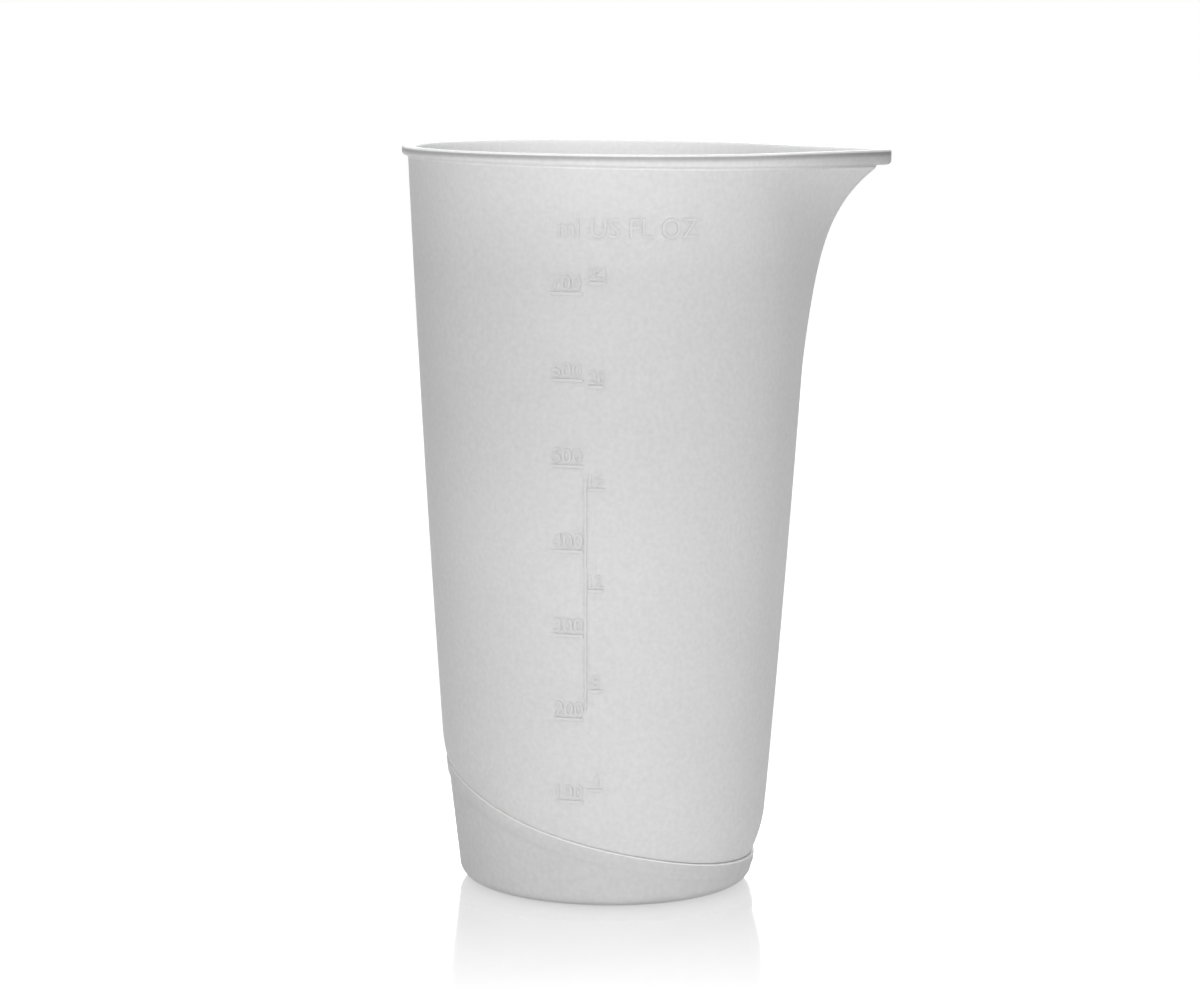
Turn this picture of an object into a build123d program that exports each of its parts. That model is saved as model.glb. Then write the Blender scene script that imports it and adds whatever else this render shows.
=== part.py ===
"""Measuring and mixing beaker: a frosted plastic body with a pouring spout, standing in a push-on foot.

Millimetres. +Z is up, the origin is the centre of the foot's underside, and the spout points to +X.
"""
from build123d import *
import os
from math import acos, cos, degrees, radians, sin

# ---- overall sizes ----
height = 172.0                # foot underside to the top of the rim
rim_wall_radius = 47.4        # outer wall radius at the rim
base_wall_radius = 36.0       # outer wall radius carried down to the table
wall_bulge = 0.65             # how far the middle of the wall stands out of a straight cone
wall = 1.6                    # thickness of the body wall

# ---- rim flange ----
flange_overhang = 1.3         # flange past the wall, all round
flange_back_height = 2.1      # flange height opposite the spout
flange_tip_height = 3.4       # flange height at the tip of the spout
flange_top_round = 0.4
flange_under_round = 0.5
mouth_round = 0.5             # inner edge of the mouth

# ---- spout ----
spout_depth = 54.0            # the wall begins to lean out this far below the rim
spout_reach = 19.9            # nose past the round wall, if the flare ran on to the rim
spout_lean = 0.29             # share of the reach taken by the gentle lower lean
spout_lean_power = 1.66
spout_flare_power = 6.0
spout_lip_nose = 5.0          # plan radius of the nose at the lip
spout_low_nose = 26.0         # plan radius of the nose where the spout begins
spout_nose_power = 0.7
spout_root_step = 0.1         # the spout begins with this small step past the round wall
spout_tip_overhang = 2.4      # flange past the wall at the tip
spout_sections = 7

# ---- oblique seam between the body and the foot, in side view ----
# each point: distance towards the spout as a share of base_wall_radius, then height
seam_shape = [(-7 / 6, 32.2), (-3 / 4, 22.4), (0.0, 14.0), (5 / 9, 9.6), (7 / 6, 6.2)]
seam_gap = 0.3                # open gap along the seam
tuck_radius = 12.0            # rounding that tucks the body's lower edge in over the foot
tuck_drop = 4.5               # how far the rounding's own lower edge lies below the seam, at the axis
tuck_drop_slope = 0.068       # and how much further per millimetre towards the spout

# ---- foot ----
foot_inset = 1.95             # foot surface in from the wall surface, both carried down to the table
foot_taper = 0.122            # radius gained per millimetre of height
foot_wall = 1.5
foot_floor = 2.0
foot_bottom_round = 4.0
lip_height = 4.0              # raised band along the foot's top edge
lip_stand = 0.3
grip_groove_radii = [20.0, 23.5, 27.0]   # round grooves in the underside
grip_groove_width = 1.5
grip_groove_depth = 0.6

# ---- spigot: the lower end of the body, held inside the foot ----
spigot_clearance = 0.08
spigot_wall = 1.6
body_floor = 1.6
cavity_floor_round = 6.0
spigot_bottom_round = 3.0
step_top = 36.0               # below this height the cavity narrows
step_bottom = 27.0            # down to the bore of the spigot

# ---- raised graduations on the front of the wall ----
mark_relief = 0.25
mark_width = 0.7
scale_line_width = 0.6
millilitre_first = 25.5       # height of the lowest mark
millilitre_pitch = 19.3
millilitre_span = (-17.5, -8.0)        # degrees round the wall from the front, + towards the spout
ounce_first = 28.4
ounce_pitch = 23.05
ounce_span = (-6.5, -1.5)
scale_line_angle = -7.25
scale_line_heights = (47.0, 100.0)
marks_below_rim = 28.0        # no mark stands higher than this far below the rim

reach = 90.0                  # half the size of the cutting blocks, past the beaker on every side


spout_start = height - spout_depth
foot_radius = base_wall_radius - foot_inset


def wall_radius(z):
    """Outer radius of the round wall at height z: a straight cone with a slight bulge."""
    share = z / height
    cone = base_wall_radius + (rim_wall_radius - base_wall_radius) * share
    return cone + 4 * wall_bulge * share * (1 - share)


def spout_share(z):
    return max(0.0, (z - spout_start) / (height - spout_start))


def spout_out(z):
    """How far the nose of the spout stands past the round wall at height z."""
    share = spout_share(z)
    lean = spout_lean * share ** spout_lean_power
    flare = (1 - spout_lean) * share ** spout_flare_power
    return spout_root_step + spout_reach * (lean + flare)


def nose_radius(z):
    change = spout_lip_nose - spout_low_nose
    return spout_low_nose + change * spout_share(z) ** spout_nose_power


def foot_outer(z):
    return foot_radius + foot_taper * z


def spigot_outer(z):
    return foot_outer(z) - foot_wall - spigot_clearance


def spigot_inner(z):
    return spigot_outer(z) - spigot_wall


def mark_heights(first, pitch):
    """Heights of a column of marks, as many as the wall has room for."""
    count = 1 + int((height - marks_below_rim - first) / pitch)
    return [first + pitch * i for i in range(count)]


# ---- derived places ----
rim_base = height - flange_tip_height
form_bottom = -8.0            # the wall form starts below the table and is cut to the seam
section_heights = [
    spout_start + (rim_base - spout_start) * (i / (spout_sections - 1)) ** 0.75
    for i in range(spout_sections)
]
tip_x = wall_radius(rim_base) + spout_out(rim_base)
flange_tip_x = tip_x + spout_tip_overhang
flange_radius = rim_wall_radius + flange_overhang
cavity_floor = foot_floor + body_floor
seam_points = [(share * base_wall_radius, z) for share, z in seam_shape]
tuck_points = [(x, z - tuck_drop - tuck_drop_slope * x) for x, z in seam_points]
foot_block_top = seam_points[0][1] + lip_height


def plan_outline(body_r, nose_r, tip):
    """Plan of the body and spout: a circle and a nose arc, joined by two tangent lines."""
    nose_x = tip - nose_r
    turn = acos((body_r - nose_r) / nose_x)
    body_x, body_y = body_r * cos(turn), body_r * sin(turn)
    nose_end_x, nose_end_y = nose_x + nose_r * cos(turn), nose_r * sin(turn)
    ThreePointArc((body_x, body_y), (-body_r, 0), (body_x, -body_y))
    Line((body_x, -body_y), (nose_end_x, -nose_end_y))
    ThreePointArc((nose_end_x, -nose_end_y), (tip, 0), (nose_end_x, nose_end_y))
    Line((nose_end_x, nose_end_y), (body_x, body_y))


def plan_face(z, inset):
    """Plan face of the body and spout at height z, moved inwards by inset."""
    body_r = wall_radius(z)
    with BuildSketch(Plane.XY.offset(z)) as plan:
        with BuildLine():
            plan_outline(body_r - inset, nose_radius(z) - inset, body_r + spout_out(z) - inset)
        make_face()
    return plan.sketch.face()


def plan_faces(inset):
    return [plan_face(z, inset) for z in section_heights]


def wall_arc(z_low, z_high, inset):
    """Side-view line of the round wall between two heights, moved inwards by inset."""
    z_middle = (z_low + z_high) / 2
    return ThreePointArc(*[(wall_radius(z) - inset, z) for z in (z_low, z_middle, z_high)])


def block_above(points, lift):
    """A wide block bounded below by the side-view curve through points, raised by lift."""
    with BuildPart() as block:
        with BuildSketch(Plane.XZ.offset(-reach)):
            with BuildLine():
                curve = Spline(*[(x, z + lift) for x, z in points])
                start, end = points[0], points[-1]
                Polyline(curve @ 1, (reach, end[1] + lift), (reach, 2 * reach),
                         (-reach, 2 * reach), (-reach, start[1] + lift), curve @ 0)
            make_face()
        extrude(amount=2 * reach)
    return block.part


above_seam = block_above(seam_points, 0.0)
above_tuck = block_above(tuck_points, 0.0)
above_foot_top = block_above(seam_points, -seam_gap)
above_lip = block_above(seam_points, -seam_gap - lip_height)

# ---- round wall, solid, with its lower edge tucked in above the seam ----
with BuildPart() as round_form:
    with BuildSketch(Plane.XZ):
        with BuildLine():
            outer_line = wall_arc(form_bottom, spout_start, 0.0)
            Polyline(outer_line @ 1, (0, spout_start), (0, form_bottom), outer_line @ 0)
        make_face()
    revolve(axis=Axis.Z)
    add(above_tuck, mode=Mode.INTERSECT)
    fillet(round_form.faces().sort_by(Axis.Z)[0].edges(), tuck_radius)
    add(above_seam, mode=Mode.INTERSECT)

# ---- rim flange: a solid plate whose underside drops towards the spout ----
with BuildPart() as flange:
    with BuildSketch(Plane.XY.offset(rim_base)):
        with BuildLine():
            plan_outline(flange_radius, spout_lip_nose + flange_overhang, flange_tip_x)
        make_face()
    extrude(amount=flange_tip_height)
    with BuildSketch(Plane.XZ.offset(-reach)):
        with BuildLine():
            Polyline((-flange_radius, height - flange_back_height), (flange_tip_x, rim_base),
                     (flange_tip_x, height), (-flange_radius, height), close=True)
        make_face()
    extrude(amount=2 * reach, mode=Mode.INTERSECT)
    fillet(flange.faces().sort_by(Axis.Z)[-1].edges(), flange_top_round)
    fillet(flange.faces().sort_by(Axis.Z)[0].edges(), flange_under_round)

# ---- the hollow: spigot bore, round wall, spout and mouth ----
with BuildPart() as cavity:
    with BuildSketch(Plane.XZ) as cavity_side:
        with BuildLine():
            inner_line = wall_arc(step_top, spout_start, wall)
            floor_corner = (spigot_inner(cavity_floor), cavity_floor)
            Polyline(inner_line @ 1, (0, spout_start), (0, cavity_floor), floor_corner,
                     (spigot_inner(step_bottom), step_bottom), inner_line @ 0)
        make_face()
        fillet(cavity_side.vertices().group_by(Axis.Y)[0].sort_by(Axis.X)[-1], cavity_floor_round)
    revolve(axis=Axis.Z)
    loft(plan_faces(wall))
    extrude(plan_face(rim_base, wall), amount=2 * flange_tip_height)

# ---- graduations: thin sectors reaching out from the axis, cut down to a skin on the wall ----
half_mark = mark_width / 2
half_line_angle = degrees(scale_line_width / 2 / rim_wall_radius)
millilitre_heights = mark_heights(millilitre_first, millilitre_pitch)
ounce_heights = mark_heights(ounce_first, ounce_pitch)
sectors = [(millilitre_span, z - half_mark, z + half_mark) for z in millilitre_heights]
sectors += [(ounce_span, z - half_mark, z + half_mark) for z in ounce_heights]
sectors += [((scale_line_angle - half_line_angle, scale_line_angle + half_line_angle),
             *scale_line_heights)]

with BuildPart() as graduations:
    for span, z_low, z_high in sectors:
        corners = [(reach * sin(radians(a)), -reach * cos(radians(a))) for a in span]
        with BuildSketch(Plane.XY.offset(z_low)):
            Polygon((0, 0), *corners, align=None)
        extrude(amount=z_high - z_low)
    skin_low, skin_high = millilitre_first / 2, height - marks_below_rim / 2
    with BuildSketch(Plane.XZ):
        with BuildLine():
            proud_line = wall_arc(skin_low, skin_high, -mark_relief)
            rooted_line = wall_arc(skin_low, skin_high, wall / 3)
            Line(proud_line @ 0, rooted_line @ 0)
            Line(proud_line @ 1, rooted_line @ 1)
        make_face()
    revolve(axis=Axis.Z, mode=Mode.INTERSECT)

# ---- beaker body ----
with BuildPart() as beaker_body:
    add(round_form.part)
    loft(plan_faces(0.0))
    extrude(plan_face(rim_base, 0.0), amount=flange_tip_height)
    add(flange.part)
    with BuildSketch(Plane.XZ) as spigot_side:
        Polygon((0, foot_floor), (spigot_outer(foot_floor), foot_floor),
                (spigot_outer(step_top), step_top), (0, step_top), align=None)
        fillet(spigot_side.vertices().group_by(Axis.Y)[0].sort_by(Axis.X)[-1], spigot_bottom_round)
    revolve(axis=Axis.Z)
    add(graduations.part)
    add(cavity.part, mode=Mode.SUBTRACT)
    mouth = beaker_body.faces().sort_by(Axis.Z)[-1].inner_wires()[0]
    fillet(mouth.edges(), mouth_round)
beaker_body.part.label = "beaker_body"

# ---- push-on foot ----
with BuildPart() as foot_lip:
    with BuildSketch(Plane.XZ):
        rooted = -foot_wall / 2
        Polygon((foot_outer(0) + rooted, 0), (foot_outer(0) + lip_stand, 0),
                (foot_outer(foot_block_top) + lip_stand, foot_block_top),
                (foot_outer(foot_block_top) + rooted, foot_block_top), align=None)
    revolve(axis=Axis.Z)
    add(above_lip, mode=Mode.INTERSECT)

with BuildPart() as foot:
    with BuildSketch(Plane.XZ) as foot_side:
        Polygon((0, 0), (foot_radius, 0), (foot_outer(foot_block_top), foot_block_top),
                (0, foot_block_top), align=None)
        fillet(foot_side.vertices().group_by(Axis.Y)[0].sort_by(Axis.X)[-1], foot_bottom_round)
    revolve(axis=Axis.Z)
    add(foot_lip.part)
    with BuildSketch(Plane.XZ) as pocket_side:
        Polygon((0, foot_floor), (foot_outer(foot_floor) - foot_wall, foot_floor),
                (foot_outer(foot_block_top) - foot_wall, foot_block_top),
                (0, foot_block_top), align=None)
        fillet(pocket_side.vertices().group_by(Axis.Y)[0].sort_by(Axis.X)[-1],
               spigot_bottom_round - 0.5)
    revolve(axis=Axis.Z, mode=Mode.SUBTRACT)
    add(above_foot_top, mode=Mode.SUBTRACT)
    with BuildSketch():
        for groove_radius in sorted(grip_groove_radii, reverse=True):
            Circle(groove_radius + grip_groove_width / 2)
            Circle(groove_radius - grip_groove_width / 2, mode=Mode.SUBTRACT)
    extrude(amount=grip_groove_depth, mode=Mode.SUBTRACT)
foot.part.label = "foot"

os.makedirs("parts", exist_ok=True)
export_step(beaker_body.part, "parts/beaker_body.step")
export_step(foot.part, "parts/foot.step")
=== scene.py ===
"""Looks of a frosted plastic measuring beaker with a pouring spout and a push-on foot.

Shapes are worked out in millimetres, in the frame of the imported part: +Z up, the spout towards +X,
the graduations towards -Y. They are scaled to metres when a mesh is made.
"""
import math
import bpy
import numpy as np
from mathutils import Matrix, Vector


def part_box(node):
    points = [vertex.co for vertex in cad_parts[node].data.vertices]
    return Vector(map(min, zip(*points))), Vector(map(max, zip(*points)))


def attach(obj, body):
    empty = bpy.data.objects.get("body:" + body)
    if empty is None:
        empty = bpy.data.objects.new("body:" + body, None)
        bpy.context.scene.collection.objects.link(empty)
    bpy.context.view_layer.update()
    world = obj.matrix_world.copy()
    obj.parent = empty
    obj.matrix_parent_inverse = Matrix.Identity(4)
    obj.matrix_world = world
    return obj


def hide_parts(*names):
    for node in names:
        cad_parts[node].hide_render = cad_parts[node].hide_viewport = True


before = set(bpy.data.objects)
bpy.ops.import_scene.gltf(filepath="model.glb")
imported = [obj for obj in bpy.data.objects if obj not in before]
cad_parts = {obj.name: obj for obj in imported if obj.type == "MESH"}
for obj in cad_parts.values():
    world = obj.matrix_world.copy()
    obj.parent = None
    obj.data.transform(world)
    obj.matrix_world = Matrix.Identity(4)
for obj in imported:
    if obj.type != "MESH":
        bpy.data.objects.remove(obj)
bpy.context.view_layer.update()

MM = 0.001
TINY = 1e-6

# ---- sizes from the frame ----
body_low, body_high = (np.array(limit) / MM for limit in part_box("beaker_body"))
HEIGHT = body_high[2]
FLOOR_THICKNESS = body_low[2]           # the body's underside rests on the foot's floor
FLANGE_RADIUS = -body_low[0]
FLANGE_TIP_X = body_high[0]

# ---- sizes of the mouldings, in millimetres ----
FLANGE_OVERHANG = 1.3
RIM_WALL_RADIUS = FLANGE_RADIUS - FLANGE_OVERHANG
BASE_WALL_RADIUS = 36.0
WALL_BULGE = 0.65
WALL = 1.6
FLANGE_BACK_HEIGHT = 2.1
FLANGE_TIP_HEIGHT = 3.4
FLANGE_TOP_ROUND = 0.45
FLANGE_UNDER_ROUND = 0.9
FLANGE_ROOT_ROUND = 0.9
COVE_REACH = 0.6                        # the flange's root runs out by this share of its rounding
COVE_INSET = 0.2                        # at the spout the root ends this far inside the wall's plan
MOUTH_ROUND = 0.6
MOUTH_EDGE = 0.15                       # width of the row outside the mouth's rounding
UNDER_FLANGE = HEIGHT - FLANGE_TIP_HEIGHT
SPOUT_START = HEIGHT - 54.0
SPOUT_REACH = 19.9
SPOUT_LEAN = 0.29
SPOUT_LEAN_POWER = 1.66
SPOUT_FLARE_POWER = 6.0
SPOUT_LIP_NOSE = 5.0
SPOUT_LOW_NOSE = 26.0
SPOUT_NOSE_POWER = 0.7
SEAM_POINTS = [(-42.0, 32.2), (-27.0, 22.4), (0.0, 14.0), (20.0, 9.6), (42.0, 6.2)]
SEAM_GAP = 0.06
LEDGE_BACK, LEDGE_SPOUT = 0.28, 0.75    # how far the foot's top edge shows past the tucked body
TUCK_HEIGHT_BACK, TUCK_HEIGHT_SPOUT = 7.0, 11.0
SEAM_EDGE_ROUND = 0.12
FOOT_RADIUS = BASE_WALL_RADIUS - 1.95
FOOT_TAPER = 0.122
FOOT_WALL = 1.5
FOOT_BOTTOM_ROUND = 4.0
LIP_HEIGHT = 4.0
LIP_STAND = 0.3
LIP_EDGE_ROUND = 0.3
LIP_LOWEST = FOOT_BOTTOM_ROUND + 0.2
# share of the lip's height, share of its stand
LIP_PROFILE = ((0.0, 0.0), (0.12, 0.5), (0.24, 1.0), (0.6, 1.0), (1.0, 1.0))
POCKET_EDGE = 0.05                      # width of the row outside the pocket's wall
POCKET_BOTTOM_ROUND = 2.5
GROOVE_RADII = (20.0, 23.5, 27.0)
GROOVE_WIDTH = 1.5
GROOVE_DEPTH = 0.6
# distance past the groove's edge, share of its depth
GROOVE_PROFILE = ((0.15, 0.0), (0.0, 0.15), (-0.2, 1.0))
SPIGOT_CLEARANCE = 0.08
SPIGOT_WALL = 1.6
CAVITY_FLOOR = FLOOR_THICKNESS + 1.6
CAVITY_FLOOR_ROUND = 6.0
SPIGOT_BOTTOM_ROUND = 3.0
STEP_TOP = 36.0
STEP_BOTTOM = 27.0

# ---- raised graduations: millimetres, and degrees from the front towards the spout ----
MARK_RELIEF = 0.12
MARK_ROOT = 0.4                         # how deep the marks are rooted in the wall
MARK_WIDTH = 0.7
MILLILITRES = [100 * step for step in range(1, 8)]
MILLILITRE_FIRST, MILLILITRE_PITCH = 25.5, 19.3
MILLILITRE_SPAN = (-17.5, -8.0)
OUNCES = [4 * step for step in range(1, 7)]
OUNCE_FIRST, OUNCE_PITCH = 28.4, 23.05
OUNCE_SPAN = (-6.5, -1.5)
DIGIT_HEIGHT = 3.4
SMALL_DIGIT_HEIGHT = 3.0
DIGIT_LIFT = 0.7                        # digits stand this far above their mark
SCALE_LINE_SPAN = (-7.6, -6.9)
SCALE_LINE_HEIGHTS = (47.0, 100.0)
HEADER_BOTTOM, HEADER_HEIGHT = 153.6, 4.5
HEADERS = (("ml", -15.0, -9.0), ("US FL OZ", -6.0, 24.0))
LETTER_EXTRUDE = 0.5                    # only tells the front of a letter from its back
LETTER_CURVE_STEPS = 3
LETTER_WEIGHT = 0.010

# ---- mesh density ----
COLUMNS = 256
NOSE_CROWDING = 0.86                    # how strongly the columns crowd at the spout's nose
STEEPEST_TURN = 1.5                     # radians; keeps the tangent line finite where it isn't used
SEAM_ROUNDS = 8                         # rounds that home in on the seam
FLAT_SHARES = (0.3, 0.6, 0.9)           # rows of a flat round face, from its middle
SPIGOT_SHARES = (0.35, 0.7, 0.97)
UNDERSIDE_SHARE = 0.2
BORE_SHARES = (0.33, 0.66, 0.95)
POCKET_SHARES = (0.03, 0.3, 0.65, 0.97)
TUCK_ROWS = 13
WALL_ROWS, WALL_CROWDING = 59, 1.35     # the rows crowd together towards the rim
INNER_ROWS, INNER_CROWDING = 49, 1.3
STEP_ROWS = 8
EDGE_STEPS = 4
ROOT_STEPS = 5
FLOOR_STEPS = 8
FOOT_STEPS = 10
BAR_STEPS = 10

seam_curve = np.polyfit(*zip(*SEAM_POINTS), len(SEAM_POINTS) - 1)


def column_angles():
    """Angles round the axis, closest together at the nose of the spout."""
    even = np.linspace(-math.pi, math.pi, COLUMNS, endpoint=False)
    return even - NOSE_CROWDING * np.sin(even)


ANGLES = column_angles()


def shares(count):
    """Even shares of a length, from the first after its start to its end."""
    return np.linspace(0.0, 1.0, count + 1)[1:]


def wall_radius(z):
    """Radius of the round wall: a cone that bulges by WALL_BULGE halfway up."""
    share = z / HEIGHT
    cone = BASE_WALL_RADIUS + (RIM_WALL_RADIUS - BASE_WALL_RADIUS) * share
    return cone + 4 * WALL_BULGE * share * (1 - share)


def foot_outer(z):
    return FOOT_RADIUS + FOOT_TAPER * z


def lip_outer(z):
    return foot_outer(z) + LIP_STAND


def foot_pocket(z):
    return foot_outer(z) - FOOT_WALL


def spigot_outer(z):
    return foot_pocket(z) - SPIGOT_CLEARANCE


def spigot_inner(z):
    return spigot_outer(z) - SPIGOT_WALL


def seam_height(x):
    return np.polyval(seam_curve, x)


def spout_share(z):
    return np.clip((z - SPOUT_START) / (HEIGHT - SPOUT_START), TINY, 1.0)


def spout_out(z):
    """How far the nose of the spout stands past the round wall at height z."""
    share = spout_share(z)
    lean = SPOUT_LEAN * share ** SPOUT_LEAN_POWER
    flare = (1 - SPOUT_LEAN) * share ** SPOUT_FLARE_POWER
    return SPOUT_REACH * (lean + flare)


def nose_radius(z):
    change = SPOUT_LIP_NOSE - SPOUT_LOW_NOSE
    return SPOUT_LOW_NOSE + change * spout_share(z) ** SPOUT_NOSE_POWER


def plan_radius(body_r, nose_r, tip):
    """Distance from the axis, at each column, of a circle and a nose arc with tangent lines."""
    nose_x = np.maximum(tip - nose_r, body_r - nose_r + TINY)
    turn = np.arccos(np.clip((body_r - nose_r) / nose_x, -1.0, 1.0))
    nose_turn = np.arctan2(nose_r * np.sin(turn), nose_x + nose_r * np.cos(turn))
    angle = np.abs(ANGLES)
    line = body_r / np.cos(np.clip(turn - angle, 0.0, STEEPEST_TURN))
    inside = np.clip(nose_r ** 2 - (nose_x * np.sin(angle)) ** 2, 0.0, None)
    nose = nose_x * np.cos(angle) + np.sqrt(inside)
    radius = np.where(angle < turn, line, body_r)
    return np.where(angle < nose_turn, nose, radius)


def wall_plan(z, inset):
    """Plan of the wall and spout at height z, or at one height per column, moved in by inset."""
    round_r = wall_radius(z)
    return plan_radius(round_r - inset, nose_radius(z) - inset, round_r + spout_out(z) - inset)


def flange_plan():
    return plan_radius(FLANGE_RADIUS, SPOUT_LIP_NOSE + FLANGE_OVERHANG, FLANGE_TIP_X)


def underside_height(radius):
    """Height of the flange's underside, which drops towards the tip of the spout."""
    x = radius * np.cos(ANGLES)
    back, tip = HEIGHT - FLANGE_BACK_HEIGHT, HEIGHT - FLANGE_TIP_HEIGHT
    share = (x + FLANGE_RADIUS) / (FLANGE_TIP_X + FLANGE_RADIUS)
    return back + (tip - back) * share


def on_seam(radius_at, drop):
    """Radius and height of each column where a round surface meets the seam, lowered by drop."""
    z = seam_height(np.cos(ANGLES) * BASE_WALL_RADIUS)
    for _ in range(SEAM_ROUNDS):
        radius = radius_at(z)
        z = seam_height(radius * np.cos(ANGLES)) - drop
    return radius_at(z), z


def ring(radius, z):
    """One row of points round the axis."""
    radius = np.broadcast_to(radius, ANGLES.shape)
    z = np.broadcast_to(z, ANGLES.shape)
    return np.stack([radius * np.cos(ANGLES), radius * np.sin(ANGLES), z], axis=1)


def corner(start_r, start_z, end_r, end_z, steps, turn):
    """Rows of a rounded corner, by a quarter of an ellipse.

    turn "out" leaves the start sideways, and "up" leaves it upwards or downwards.
    """
    rows = []
    for step in range(steps + 1):
        angle = math.pi / 2 * step / steps
        along, across = math.sin(angle), 1 - math.cos(angle)
        share_r, share_z = (along, across) if turn == "out" else (across, along)
        radius = start_r + (end_r - start_r) * share_r
        rows.append(ring(radius, start_z + (end_z - start_z) * share_z))
    return rows


def shell(name, zones):
    """A closed mesh through rows of points, with a single point at the start and at the end.

    Each zone is a list of rows and the material of the faces that start from them.
    """
    rows = [row for zone_rows, _ in zones for row in zone_rows]
    count = len(rows)
    start = np.array([[0.0, 0.0, rows[0][0, 2]]])
    end = np.array([[0.0, 0.0, rows[-1][0, 2]]])
    points = np.concatenate([start] + list(rows) + [end]) * MM
    faces = []
    for j in range(COLUMNS):
        following = (j + 1) % COLUMNS
        faces.append((0, 1 + following, 1 + j))
        for i in range(count - 1):
            low, high = 1 + i * COLUMNS, 1 + (i + 1) * COLUMNS
            faces.append((low + j, low + following, high + following, high + j))
        last = 1 + (count - 1) * COLUMNS
        faces.append((last + j, last + following, len(points) - 1))
    mesh = bpy.data.meshes.new(name)
    mesh.from_pydata(points.tolist(), [], faces)
    mesh.validate()
    mesh.shade_smooth()
    # the start point, which is vertex 0, belongs to the first row
    first = 0
    for index, (zone_rows, material) in enumerate(zones):
        mesh.materials.append(material)
        last = first + len(zone_rows)
        for face in mesh.polygons:
            row = (min(v for v in face.vertices if v) - 1) // COLUMNS
            if first <= row < last:
                face.material_index = index
        first = last
    return put(mesh)


def put(mesh):
    piece = bpy.data.objects.new(mesh.name, mesh)
    bpy.context.collection.objects.link(piece)
    return piece


# ---- materials: soft clouds and a fine grain in the plastic, under a finely blasted surface ----
NOISE_RANGE = (0.3, 0.7)                # nearly all of a noise texture's values lie in it
CLOUD_DETAIL, CLOUD_MOTTLE = 3.0, (0.985, 1.015)
GRAIN_SCALE, GRAIN_DETAIL, GRAIN_MOTTLE = 900.0, 4.0, (0.955, 1.035)
BLAST_SCALE, BLAST_DETAIL, BLAST_STRENGTH, BLAST_HEIGHT = 2600.0, 2.0, 0.25, 0.0001
ROUGHNESS_VARIATION = 0.05
PLASTIC_IOR = 1.49
PLASTIC_SHINE = 0.3
LIGHT_SPREAD = 0.85                     # share of the light that spreads inside the plastic
LIGHT_REACH = 0.0012                    # metres
BODY_CLOUDS, FOOT_CLOUDS = 22.0, 30.0   # scales of the soft clouds in the plastic
BODY_ROUGHNESS, EDGE_ROUGHNESS, FOOT_ROUGHNESS = 0.52, 0.50, 0.55
# painted shade: the rim is painted darker towards the spout's tip, which turns away from the light
TIP_SHADE_START = 35.0                  # millimetres along X where the rim starts to darken


def principled(name):
    material = bpy.data.materials.new(name)
    material.use_nodes = True
    nodes = material.node_tree.nodes
    return material, nodes, material.node_tree.links, nodes["Principled BSDF"]


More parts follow.
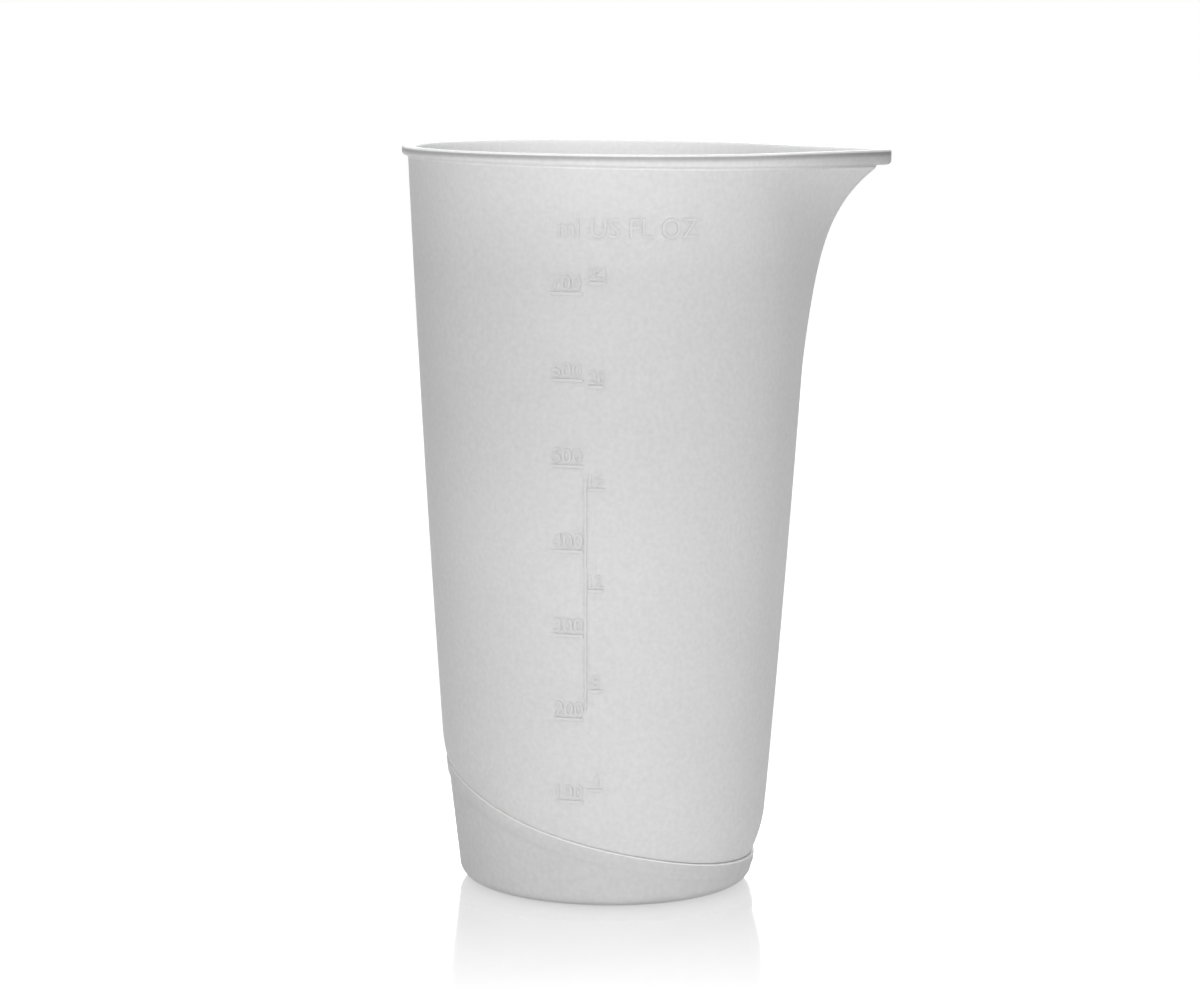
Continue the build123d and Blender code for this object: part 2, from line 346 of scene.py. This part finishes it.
def frosted_plastic(name, shades, roughness, cloud_scale, spread=LIGHT_SPREAD, tip_share=1.0):
    """Milky polypropylene: light spreads inside the wall, over a finely blasted surface.

    shades lists heights in millimetres with the base shade there, in rising order; it paints light
    and shade by height. Towards the tip of the spout the shade falls to tip_share of that: painted
    shade.
    """
    material, nodes, links, shader = principled(name)
    place = nodes.new("ShaderNodeTexCoord")

    def noise(scale, detail):
        texture = nodes.new("ShaderNodeTexNoise")
        texture.inputs["Scale"].default_value = scale
        texture.inputs["Detail"].default_value = detail
        links.new(place.outputs["Object"], texture.inputs["Vector"])
        return texture.outputs["Fac"]

    def stretched(value, result, source=NOISE_RANGE):
        stretch = nodes.new("ShaderNodeMapRange")
        stretch.inputs["From Min"].default_value = source[0]
        stretch.inputs["From Max"].default_value = source[1]
        stretch.inputs["To Min"].default_value = result[0]
        stretch.inputs["To Max"].default_value = result[1]
        links.new(value, stretch.inputs["Value"])
        return stretch.outputs["Result"]

    def times(first, second):
        product = nodes.new("ShaderNodeMath")
        product.operation = "MULTIPLY"
        links.new(first, product.inputs[0])
        links.new(second, product.inputs[1])
        return product.outputs[0]

    clouds = noise(cloud_scale, CLOUD_DETAIL)
    grain = noise(GRAIN_SCALE, GRAIN_DETAIL)
    mottle = times(stretched(clouds, CLOUD_MOTTLE), stretched(grain, GRAIN_MOTTLE))

    split = nodes.new("ShaderNodeSeparateXYZ")
    links.new(place.outputs["Object"], split.inputs["Vector"])
    lowest, highest = shades[0][0], shades[-1][0]
    ramp = nodes.new("ShaderNodeValToRGB")
    place_in_ramp = stretched(split.outputs["Z"], (0.0, 1.0), (lowest * MM, highest * MM))
    links.new(place_in_ramp, ramp.inputs["Fac"])
    stops = ramp.color_ramp.elements
    while len(stops) < len(shades):
        stops.new(0.5)
    for stop, (height, shade) in zip(stops, shades):
        stop.position = (height - lowest) / (highest - lowest)
        stop.color = (shade, shade, shade, 1.0)

    tone = times(ramp.outputs["Color"], mottle)
    # painted shade, darker towards the tip of the spout
    if tip_share < 1.0:
        reach = (TIP_SHADE_START * MM, FLANGE_TIP_X * MM)
        tone = times(tone, stretched(split.outputs["X"], (1.0, tip_share), reach))
    colour = nodes.new("ShaderNodeCombineColor")
    for channel in ("Red", "Green", "Blue"):
        links.new(tone, colour.inputs[channel])
    bump = nodes.new("ShaderNodeBump")
    bump.inputs["Strength"].default_value = BLAST_STRENGTH
    bump.inputs["Distance"].default_value = BLAST_HEIGHT
    links.new(noise(BLAST_SCALE, BLAST_DETAIL), bump.inputs["Height"])
    links.new(colour.outputs["Color"], shader.inputs["Base Color"])
    roughnesses = (roughness - ROUGHNESS_VARIATION, roughness + ROUGHNESS_VARIATION)
    links.new(stretched(clouds, roughnesses), shader.inputs["Roughness"])
    links.new(bump.outputs["Normal"], shader.inputs["Normal"])
    shader.inputs["IOR"].default_value = PLASTIC_IOR
    shader.inputs["Specular IOR Level"].default_value = PLASTIC_SHINE
    shader.inputs["Subsurface Weight"].default_value = spread
    shader.inputs["Subsurface Radius"].default_value = (1.0, 1.0, 1.0)
    shader.inputs["Subsurface Scale"].default_value = LIGHT_REACH
    return material


# painted light and shade by height: the wall is painted lighter under the open mouth and a little
# darker through its upper middle
BODY_SHADES = [(0.0, 0.66), (80.0, 0.66), (110.0, 0.62), (145.0, 0.61), (HEIGHT - 3.0, 0.69)]
# painted shade and light on the solid rim: a painted lighter underside, a painted dark line below the
# top edge, and a painted highlight on the top edge
RIM_SHADES = [
    (HEIGHT - 3.4, 0.80),
    (HEIGHT - 1.7, 0.71),
    (HEIGHT - 0.85, 0.42),
    (HEIGHT - 0.5, 0.42),
    (HEIGHT - 0.25, 0.85),
]
# painted shade: share of the rim's shade left at the spout's tip
RIM_TIP_SHARE = 0.60
# the marks carry the wall's painted light and shade by height, at a slightly darker share
MARK_SHADE_SHARE = 0.93
MARK_SHADES = [(height, MARK_SHADE_SHARE * shade) for height, shade in BODY_SHADES]
# painted light: the inside is lighter than the outside, and lightest at the mouth, for light coming
# through the walls and the mouth
INNER_SHADES = [(0.0, 0.85), (HEIGHT, 0.97)]
# painted shade: the foot darkens towards its bottom
FOOT_SHADES = [(0.0, 0.56), (30.0, 0.62)]
# painted highlight: the foot's lip is lighter than the foot, where its top edge catches the light
LIP_SHADES = [(0.0, 0.80), (30.0, 0.70)]
body_plastic = frosted_plastic("frosted_body", BODY_SHADES, BODY_ROUGHNESS, BODY_CLOUDS)
rim_plastic = frosted_plastic("frosted_rim", RIM_SHADES, EDGE_ROUGHNESS, BODY_CLOUDS,
                              tip_share=RIM_TIP_SHARE)
inner_plastic = frosted_plastic("frosted_inside", INNER_SHADES, BODY_ROUGHNESS, BODY_CLOUDS)
mark_plastic = frosted_plastic("frosted_marks", MARK_SHADES, BODY_ROUGHNESS, BODY_CLOUDS, spread=0.0)
foot_plastic = frosted_plastic("frosted_foot", FOOT_SHADES, FOOT_ROUGHNESS, FOOT_CLOUDS)
lip_plastic = frosted_plastic("frosted_lip", LIP_SHADES, EDGE_ROUGHNESS, FOOT_CLOUDS)


# ---- beaker body ----
def spigot_rows():
    """Rows of the spigot's underside and outside, from the middle up to the seam."""
    flat_r = spigot_outer(FLOOR_THICKNESS) - SPIGOT_BOTTOM_ROUND
    round_top = FLOOR_THICKNESS + SPIGOT_BOTTOM_ROUND
    rows = [ring(flat_r * share, FLOOR_THICKNESS) for share in FLAT_SHARES]
    rows += corner(flat_r, FLOOR_THICKNESS, spigot_outer(round_top), round_top, ROOT_STEPS, "out")
    root_r, root_z = on_seam(spigot_outer, 0.0)
    for share in SPIGOT_SHARES:
        z = round_top + (root_z - round_top) * share
        rows.append(ring(spigot_outer(z), z))
    rows.append(ring(root_r, root_z))
    return rows


def wall_rows(wall_top):
    """Rows of the outer wall, from the spigot along the seam and up to wall_top."""
    toward_spout = (1 + np.cos(ANGLES)) / 2
    ledge = LEDGE_BACK + (LEDGE_SPOUT - LEDGE_BACK) * toward_spout ** 3
    tuck_height = TUCK_HEIGHT_BACK + (TUCK_HEIGHT_SPOUT - TUCK_HEIGHT_BACK) * toward_spout

    # underside of the wall, and its rounded lower edge
    root_r, root_z = on_seam(spigot_outer, 0.0)
    edge_r, edge_z = on_seam(lambda z: lip_outer(z) - ledge, 0.0)
    under_r = root_r + UNDERSIDE_SHARE * (edge_r - root_r)
    rows = [ring(under_r, root_z + UNDERSIDE_SHARE * (edge_z - root_z))]
    edge_top = edge_z + SEAM_EDGE_ROUND
    rows += corner(edge_r - SEAM_EDGE_ROUND, edge_z, edge_r, edge_top, EDGE_STEPS, "out")

    # the wall, tucked in above the seam, then at its full width
    tuck_depth = wall_radius(edge_z) - edge_r
    for share in shares(TUCK_ROWS):
        rise = SEAM_EDGE_ROUND + (tuck_height - SEAM_EDGE_ROUND) * share
        left_over = 1 - rise / tuck_height
        z = edge_z + rise
        rows.append(ring(wall_plan(z, 0.0) - tuck_depth * left_over ** 2, z))
    tuck_top = edge_z + tuck_height
    for share in 1 - (1 - shares(WALL_ROWS)) ** WALL_CROWDING:
        z = tuck_top + (wall_top - tuck_top) * share
        rows.append(ring(wall_plan(z, 0.0), z))
    return rows


def rim_rows(under_z, wall_top):
    """Rows of the flange: its root, underside, edge and top."""
    root = wall_plan(wall_top, 0.0)
    cove = np.maximum(root + FLANGE_ROOT_ROUND * COVE_REACH, wall_plan(under_z, COVE_INSET))
    rows = corner(root, wall_top, cove, underside_height(cove), ROOT_STEPS, "up")[1:]
    outer = flange_plan()
    outer_z = underside_height(outer)
    rows += corner(outer - FLANGE_UNDER_ROUND, outer_z, outer, outer_z + FLANGE_UNDER_ROUND,
                   EDGE_STEPS, "out")
    rows += corner(outer, HEIGHT - FLANGE_TOP_ROUND, outer - FLANGE_TOP_ROUND, HEIGHT,
                   EDGE_STEPS, "up")
    return rows


def inside_rows():
    """Rows of the mouth, the inner wall, the step into the spigot, its bore and the floor."""
    mouth = wall_plan(UNDER_FLANGE, WALL)
    rows = [ring(mouth + MOUTH_ROUND + MOUTH_EDGE, HEIGHT)]
    rows += corner(mouth + MOUTH_ROUND, HEIGHT, mouth, HEIGHT - MOUTH_ROUND, EDGE_STEPS, "out")
    rows.append(ring(mouth, UNDER_FLANGE))
    for share in shares(INNER_ROWS) ** INNER_CROWDING:
        z = UNDER_FLANGE - (UNDER_FLANGE - STEP_TOP) * share
        rows.append(ring(wall_plan(z, WALL), z))

    top_r, low_r = wall_radius(STEP_TOP) - WALL, spigot_inner(STEP_BOTTOM)
    for share in shares(STEP_ROWS):
        eased = share * share * (3 - 2 * share)
        z = STEP_TOP + (STEP_BOTTOM - STEP_TOP) * share
        rows.append(ring(top_r + (low_r - top_r) * eased, z))
    bore_bottom = CAVITY_FLOOR + CAVITY_FLOOR_ROUND
    for share in BORE_SHARES:
        z = STEP_BOTTOM + (bore_bottom - STEP_BOTTOM) * share
        rows.append(ring(spigot_inner(z), z))
    floor_r = spigot_inner(CAVITY_FLOOR) - CAVITY_FLOOR_ROUND
    rows += corner(spigot_inner(bore_bottom), bore_bottom, floor_r, CAVITY_FLOOR, FLOOR_STEPS, "up")
    rows += [ring(floor_r * share, CAVITY_FLOOR) for share in reversed(FLAT_SHARES)]
    return rows


def body_zones():
    """Rows of the body from the middle of its underside, over the rim, to the middle of its floor."""
    under_z = underside_height(wall_plan(UNDER_FLANGE, 0.0))
    wall_top = under_z - FLANGE_ROOT_ROUND
    outside = spigot_rows() + wall_rows(wall_top)
    rim = rim_rows(under_z, wall_top)
    inside = rim[-1:] + inside_rows()
    return [(outside, body_plastic), (rim[:-1], rim_plastic), (inside, inner_plastic)]


body = shell("beaker_body_moulding", body_zones())
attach(body, "beaker")
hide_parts("beaker_body")


# ---- raised graduations on the wall ----
def on_wall(degrees_round, z, out):
    """Point at an angle from the front, at height z, standing out of the round wall."""
    turn = math.radians(degrees_round)
    radius = wall_radius(z) + out
    return radius * math.sin(turn) * MM, -radius * math.cos(turn) * MM, z * MM


def bar(points, faces, span, z_low, z_high):
    """A raised bar that follows the wall, added to the lists of points and faces."""
    start = len(points)
    for step in range(BAR_STEPS + 1):
        angle = span[0] + (span[1] - span[0]) * step / BAR_STEPS
        points.append(on_wall(angle, z_low, -MARK_ROOT))
        points.append(on_wall(angle, z_high, -MARK_ROOT))
        points.append(on_wall(angle, z_high, MARK_RELIEF))
        points.append(on_wall(angle, z_low, MARK_RELIEF))
    for step in range(BAR_STEPS):
        near, far = start + 4 * step, start + 4 * (step + 1)
        for k in range(4):
            following = (k + 1) % 4
            faces.append((near + k, near + following, far + following, far + k))
    faces.append((start + 3, start + 2, start + 1, start))
    end = start + 4 * BAR_STEPS
    faces.append((end, end + 1, end + 2, end + 3))


def lettering(points, faces, text, centre, z_bottom, height, widest):
    """Raised letters wrapped onto the wall, added to the lists of points and faces."""
    curve = bpy.data.curves.new("lettering", "FONT")
    curve.body = text
    curve.extrude = LETTER_EXTRUDE
    curve.resolution_u = LETTER_CURVE_STEPS
    curve.offset = LETTER_WEIGHT
    writing = bpy.data.objects.new("lettering", curve)
    bpy.context.collection.objects.link(writing)
    depsgraph = bpy.context.evaluated_depsgraph_get()
    flat = bpy.data.meshes.new_from_object(writing.evaluated_get(depsgraph))
    places = np.array([vertex.co for vertex in flat.vertices])
    low, high = places.min(axis=0), places.max(axis=0)
    scale_z = height / (high[1] - low[1])
    scale_x = min(scale_z, widest / (high[0] - low[0]))
    per_degree = math.radians(1.0) * wall_radius(z_bottom)
    start = len(points)
    for x, y, depth in places:
        angle = centre + (x - (low[0] + high[0]) / 2) * scale_x / per_degree
        out = MARK_RELIEF if depth > 0 else -MARK_ROOT
        points.append(on_wall(angle, z_bottom + (y - low[1]) * scale_z, out))
    for face in flat.polygons:
        faces.append(tuple(start + v for v in face.vertices))
    bpy.data.objects.remove(writing)
    bpy.data.curves.remove(curve)
    bpy.data.meshes.remove(flat)


def scale_column(points, faces, numbers, first, pitch, span, digit_height):
    """A column of marks, each with its number standing on it."""
    middle = sum(span) / 2
    for step, number in enumerate(numbers):
        z = first + pitch * step
        bar(points, faces, span, z - MARK_WIDTH / 2, z + MARK_WIDTH / 2)
        widest = math.radians(span[1] - span[0]) * wall_radius(z)
        lettering(points, faces, str(number), middle, z + DIGIT_LIFT, digit_height, widest)


def make_graduations():
    points, faces = [], []
    scale_column(points, faces, MILLILITRES, MILLILITRE_FIRST, MILLILITRE_PITCH,
                 MILLILITRE_SPAN, DIGIT_HEIGHT)
    scale_column(points, faces, OUNCES, OUNCE_FIRST, OUNCE_PITCH, OUNCE_SPAN, SMALL_DIGIT_HEIGHT)
    bar(points, faces, SCALE_LINE_SPAN, *SCALE_LINE_HEIGHTS)
    for text, start, end in HEADERS:
        widest = math.radians(end - start) * wall_radius(HEADER_BOTTOM)
        lettering(points, faces, text, (start + end) / 2, HEADER_BOTTOM, HEADER_HEIGHT, widest)
    mesh = bpy.data.meshes.new("graduations")
    mesh.from_pydata(points, [], faces)
    mesh.validate()
    mesh.materials.append(mark_plastic)
    return put(mesh)


graduations = make_graduations()
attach(graduations, "beaker")


# ---- foot ----
def underside_rows():
    """Rows of the foot's underside with its grip grooves, and of its rounded lower edge."""
    rows = [ring(GROOVE_RADII[0] * share, 0.0) for share in FLAT_SHARES[:2]]
    half = GROOVE_WIDTH / 2
    for groove in GROOVE_RADII:
        for outside, depth in GROOVE_PROFILE:
            rows.append(ring(groove - half - outside, GROOVE_DEPTH * depth))
        for outside, depth in reversed(GROOVE_PROFILE):
            rows.append(ring(groove + half + outside, GROOVE_DEPTH * depth))
    flat_r = FOOT_RADIUS - FOOT_BOTTOM_ROUND
    rows += corner(flat_r, 0.0, foot_outer(FOOT_BOTTOM_ROUND), FOOT_BOTTOM_ROUND, FOOT_STEPS, "out")
    return rows


def lip_rows(lip_z, lip_end):
    """Rows of the foot's outside, up the raised lip to where its edge rounding starts."""
    rows = []
    for share in FLAT_SHARES:
        z = FOOT_BOTTOM_ROUND + (lip_z - FOOT_BOTTOM_ROUND) * share
        rows.append(ring(foot_outer(z), z))
    for share, stand in LIP_PROFILE:
        z = lip_z + (lip_end - lip_z) * share
        rows.append(ring(foot_outer(z) + LIP_STAND * stand, z))
    return rows


def pocket_rows():
    """Rows of the lip's inner edge, the pocket's wall and its floor."""
    inner_r, inner_z = on_seam(foot_pocket, SEAM_GAP)
    rows = [ring(inner_r + POCKET_EDGE, inner_z)]
    bottom = FLOOR_THICKNESS + POCKET_BOTTOM_ROUND
    for share in POCKET_SHARES:
        z = inner_z + (bottom - inner_z) * share
        rows.append(ring(foot_pocket(z), z))
    floor_r = foot_pocket(FLOOR_THICKNESS) - POCKET_BOTTOM_ROUND
    rows += corner(foot_pocket(bottom), bottom, floor_r, FLOOR_THICKNESS, ROOT_STEPS, "up")
    rows += [ring(floor_r * share, FLOOR_THICKNESS) for share in reversed(FLAT_SHARES)]
    return rows


def foot_zones():
    """Rows of the foot from the middle of its underside to the middle of its pocket floor."""
    _, top_z = on_seam(lip_outer, SEAM_GAP)
    lip_z = np.maximum(top_z - LIP_HEIGHT, LIP_LOWEST)
    lip_end = top_z - LIP_EDGE_ROUND
    outside = underside_rows() + lip_rows(lip_z, lip_end)
    edge_r = lip_outer(lip_end)
    edge = corner(edge_r, lip_end, edge_r - LIP_EDGE_ROUND, top_z, EDGE_STEPS, "up")[1:]
    lip = outside[-1:] + edge
    return [(outside[:-1], foot_plastic), (lip, lip_plastic), (pocket_rows(), foot_plastic)]


foot = shell("foot_moulding", foot_zones())
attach(foot, "foot")
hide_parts("foot")

# ---- floor ----
FLOOR_SIZE = 6.0
FLOOR_DROP = 0.0001                     # keeps the floor clear of the foot's underside
FLOOR_MATTE = (0.9, 0.9, 0.9, 1.0)
FLOOR_WHITE_STRENGTH = 1.2
FLOOR_WHITE_SHARE = 0.8                 # the rest is matte, and keeps the object's shadow
POLISH_ROUGHNESS = 0.09
POLISH_SHARE = 0.43
POLISH_FADE = (0.025, 0.158)            # metres from the axis over which the polish fades out
bpy.ops.mesh.primitive_plane_add(size=FLOOR_SIZE, location=(0, 0, -FLOOR_DROP))
floor = bpy.context.object
floor.name = "floor"


def sees_background(nodes, links):
    """1 for rays from the camera, and for mirrored and refracted ones, else 0."""
    path = nodes.new("ShaderNodeLightPath")
    first = nodes.new("ShaderNodeMath")
    first.operation = "MAXIMUM"
    second = nodes.new("ShaderNodeMath")
    second.operation = "MAXIMUM"
    links.new(path.outputs["Is Camera Ray"], first.inputs[0])
    links.new(path.outputs["Is Glossy Ray"], first.inputs[1])
    links.new(first.outputs[0], second.inputs[0])
    links.new(path.outputs["Is Transmission Ray"], second.inputs[1])
    return second.outputs[0]


def make_floor_material():
    """White to look at, matte for the object's shadow, and polished close to the object."""
    material = bpy.data.materials.new("studio_floor")
    material.use_nodes = True
    nodes, links = material.node_tree.nodes, material.node_tree.links
    nodes.clear()
    output = nodes.new("ShaderNodeOutputMaterial")
    matte = nodes.new("ShaderNodeBsdfDiffuse")
    matte.inputs["Color"].default_value = FLOOR_MATTE
    white = nodes.new("ShaderNodeEmission")
    white.inputs["Strength"].default_value = FLOOR_WHITE_STRENGTH
    share = nodes.new("ShaderNodeMath")
    share.operation = "MULTIPLY"
    share.inputs[1].default_value = FLOOR_WHITE_SHARE
    mirror = nodes.new("ShaderNodeBsdfGlossy")
    mirror.inputs["Roughness"].default_value = POLISH_ROUGHNESS
    ground = nodes.new("ShaderNodeMixShader")
    polished = nodes.new("ShaderNodeMixShader")
    links.new(sees_background(nodes, links), share.inputs[0])
    links.new(share.outputs[0], ground.inputs["Fac"])
    links.new(matte.outputs[0], ground.inputs[1])
    links.new(white.outputs[0], ground.inputs[2])
    place = nodes.new("ShaderNodeTexCoord")
    distance = nodes.new("ShaderNodeVectorMath")
    distance.operation = "LENGTH"
    fade = nodes.new("ShaderNodeMapRange")
    fade.interpolation_type = "SMOOTHSTEP"
    fade.inputs["From Min"].default_value = POLISH_FADE[0]
    fade.inputs["From Max"].default_value = POLISH_FADE[1]
    fade.inputs["To Min"].default_value = POLISH_SHARE
    fade.inputs["To Max"].default_value = 0.0
    links.new(place.outputs["Object"], distance.inputs[0])
    links.new(distance.outputs["Value"], fade.inputs["Value"])
    links.new(fade.outputs["Result"], polished.inputs["Fac"])
    links.new(ground.outputs[0], polished.inputs[1])
    links.new(mirror.outputs[0], polished.inputs[2])
    links.new(polished.outputs[0], output.inputs["Surface"])
    return material


floor.data.materials.append(make_floor_material())

# ---- world: white to look at, a soft even grey as a light ----
WORLD_LIGHT = 0.27
WORLD_WHITE = 1.0
world = bpy.data.worlds.new("studio")
world.use_nodes = True
bpy.context.scene.world = world
world_nodes, world_links = world.node_tree.nodes, world.node_tree.links
background = world_nodes["Background"]
strength = world_nodes.new("ShaderNodeMapRange")
strength.inputs["To Min"].default_value = WORLD_LIGHT
strength.inputs["To Max"].default_value = WORLD_WHITE
background.inputs["Color"].default_value = (1.0, 1.0, 1.0, 1.0)
world_links.new(sees_background(world_nodes, world_links), strength.inputs["Value"])
world_links.new(strength.outputs["Result"], background.inputs["Strength"])


# ---- lamps: name, place and size in metres, power in watts ----
SOFTBOXES = (
    ("front_softbox", (0.0, -1.3, 0.33), (1.5, 0.6), 12.3),
    ("top_softbox", (0.0, -0.1, 1.2), (1.0, 1.0), 4.6),
    ("back_softbox", (0.1, 1.3, 0.5), (0.7, 0.8), 6.0),
)


def softbox(name, place, size, power):
    """A square-cornered lamp that looks at the middle of the object."""
    data = bpy.data.lights.new(name, "AREA")
    data.shape = "RECTANGLE"
    data.size, data.size_y = size
    data.energy = power
    middle = Vector((0.0, 0.0, HEIGHT * MM / 2))
    lamp = bpy.data.objects.new(name, data)
    lamp.location = place
    lamp.rotation_euler = (middle - Vector(place)).to_track_quat("-Z", "Y").to_euler()
    bpy.context.collection.objects.link(lamp)


for lamp_settings in SOFTBOXES:
    softbox(*lamp_settings)

# ---- camera ----
SENSOR_WIDTH = 36.0
LENS = 109.25
CAMERA_PLACE = Vector((-2.17, -845.5, 202.1)) * MM
CAMERA_PITCH = 0.13323                  # radians below the horizon
CAMERA_ROLL = 0.00948
CAMERA_CLIP_START = 0.01

camera_data = bpy.data.cameras.new("camera")
camera_data.sensor_width = SENSOR_WIDTH
camera_data.lens = LENS
camera_data.clip_start = CAMERA_CLIP_START
camera = bpy.data.objects.new("camera", camera_data)
bpy.context.collection.objects.link(camera)
upright = Matrix.Rotation(math.pi / 2 - CAMERA_PITCH, 4, "X")
roll = Matrix.Rotation(CAMERA_ROLL, 4, "Z")
camera.matrix_world = Matrix.Translation(CAMERA_PLACE) @ upright @ roll
bpy.context.scene.camera = camera

bpy.context.scene.view_settings.view_transform = "Standard"
